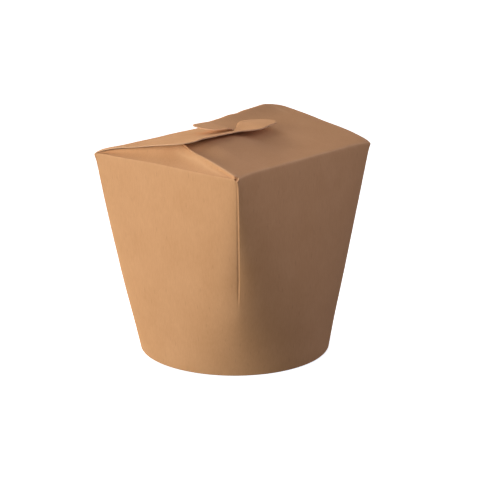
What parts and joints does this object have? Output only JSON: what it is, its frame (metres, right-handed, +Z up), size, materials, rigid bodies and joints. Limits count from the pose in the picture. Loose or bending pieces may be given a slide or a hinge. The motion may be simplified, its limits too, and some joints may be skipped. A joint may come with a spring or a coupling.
{
  "type": "noodle takeaway box",
  "caption": "Round-based kraft takeaway box that opens out to a rectangular top edge, shut by long flaps whose round tabs lock over each other on the lid.",
  "frame": {"origin": "centre of the round base, on the surface the box stands on", "axes": "+Z up; +X across the short way of the top edge, from flap hinge to flap hinge; +Y along the flap hinges, from end panel to end panel"},
  "size_m": [0.0936, 0.1084, 0.1118],
  "materials": {
    "kraft_board": "matte"
  },
  "bodies": {
    "root": {"carton": "kraft_board"}
  },
  "joints": []
}
